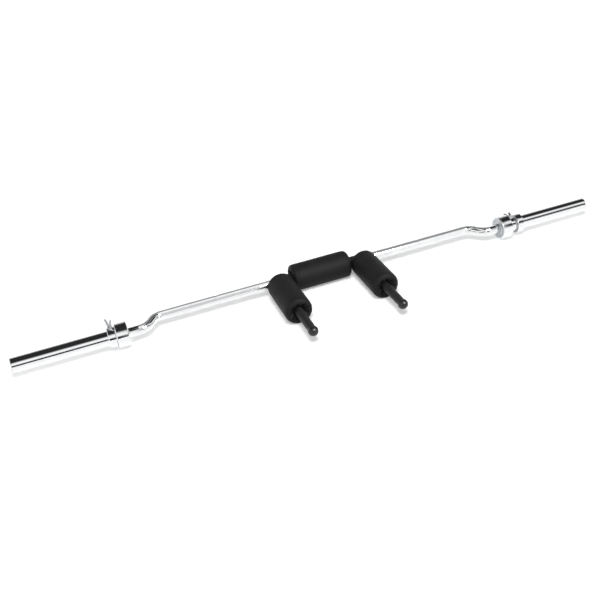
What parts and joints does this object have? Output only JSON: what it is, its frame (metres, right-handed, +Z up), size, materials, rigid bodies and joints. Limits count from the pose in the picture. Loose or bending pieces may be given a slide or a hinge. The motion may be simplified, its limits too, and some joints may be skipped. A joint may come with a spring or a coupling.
{
  "type": "safety squat bar",
  "caption": "Long chromed weight bar with bent ends, padded neck roll, padded forward arms with ball-ended grips, turning plate sleeves and screw-down lock rings.",
  "frame": {"origin": "on the floor, straight below the middle of the straight part of the bar, on the flat of the neck pad", "axes": "+X along the bar to the right end, -Y forwards along the two padded arms, +Z up"},
  "size_m": [2.134, 0.3955, 0.1158],
  "materials": {
    "chrome": "bright polished chrome plate",
    "steel": "zinc-plated steel",
    "bronze": "sintered bronze",
    "black_steel": "black satin paint",
    "rubber": "matt moulded rubber",
    "foam": "dense black foam",
    "cover": "matt black woven cover"
  },
  "bodies": {
    "frame": {"shaft": "chrome", "left_spindle": "steel", "right_spindle": "steel", "yoke_tube": "black_steel", "left_yoke_weld": "black_steel", "right_yoke_weld": "black_steel", "left_arm": "black_steel", "right_arm": "black_steel", "left_arm_weld": "black_steel", "right_arm_weld": "black_steel", "left_grip": "rubber", "right_grip": "rubber", "neck_pad_foam": "foam", "neck_pad_cover": "cover", "left_shoulder_pad_foam": "foam", "left_shoulder_pad_cover": "cover", "right_shoulder_pad_foam": "foam", "right_shoulder_pad_cover": "cover", "left_thrust_washer": "steel", "right_thrust_washer": "steel", "left_retaining_washer": "steel", "right_retaining_washer": "steel", "left_circlip": "steel", "right_circlip": "steel"},
    "left_sleeve_body": {"left_sleeve": "chrome", "left_sleeve_collar": "chrome", "left_end_cap": "chrome", "left_inner_bushing": "bronze", "left_outer_bushing": "bronze"},
    "right_sleeve_body": {"right_sleeve": "chrome", "right_sleeve_collar": "chrome", "right_end_cap": "chrome", "right_inner_bushing": "bronze", "right_outer_bushing": "bronze"},
    "left_lock": {"left_lock_ring": "chrome"},
    "right_lock": {"right_lock_ring": "chrome"},
    "left_screw": {"left_wing_screw": "steel"},
    "right_screw": {"right_wing_screw": "steel"}
  },
  "joints": [
    {"name": "left_sleeve_spin", "type": "hinge", "parent": "frame", "child": "left_sleeve_body", "pos_m": [-0.88, -0.05, 0.047], "axis": [1, 0, 0], "continuous": true},
    {"name": "right_sleeve_spin", "type": "hinge", "parent": "frame", "child": "right_sleeve_body", "pos_m": [0.88, -0.05, 0.047], "axis": [1, 0, 0], "continuous": true},
    {"name": "left_lock_slide", "type": "slide", "parent": "left_sleeve_body", "child": "left_lock", "axis": [-1, 0, 0], "range_m": [0, 0.3]},
    {"name": "right_lock_slide", "type": "slide", "parent": "right_sleeve_body", "child": "right_lock", "axis": [1, 0, 0], "range_m": [-0.026, 0.274]},
    {"name": "left_screw_turn", "type": "hinge", "parent": "left_lock", "child": "left_screw", "pos_m": [-0.7478, -0.05, 0.0868], "axis": [0, 0, 1], "range_deg": [0, 450]},
    {"name": "right_screw_turn", "type": "hinge", "parent": "right_lock", "child": "right_screw", "pos_m": [0.7738, -0.0108, 0.0539], "axis": [0, 0.9848, 0.1736], "range_deg": [0, 450]}
  ]
}
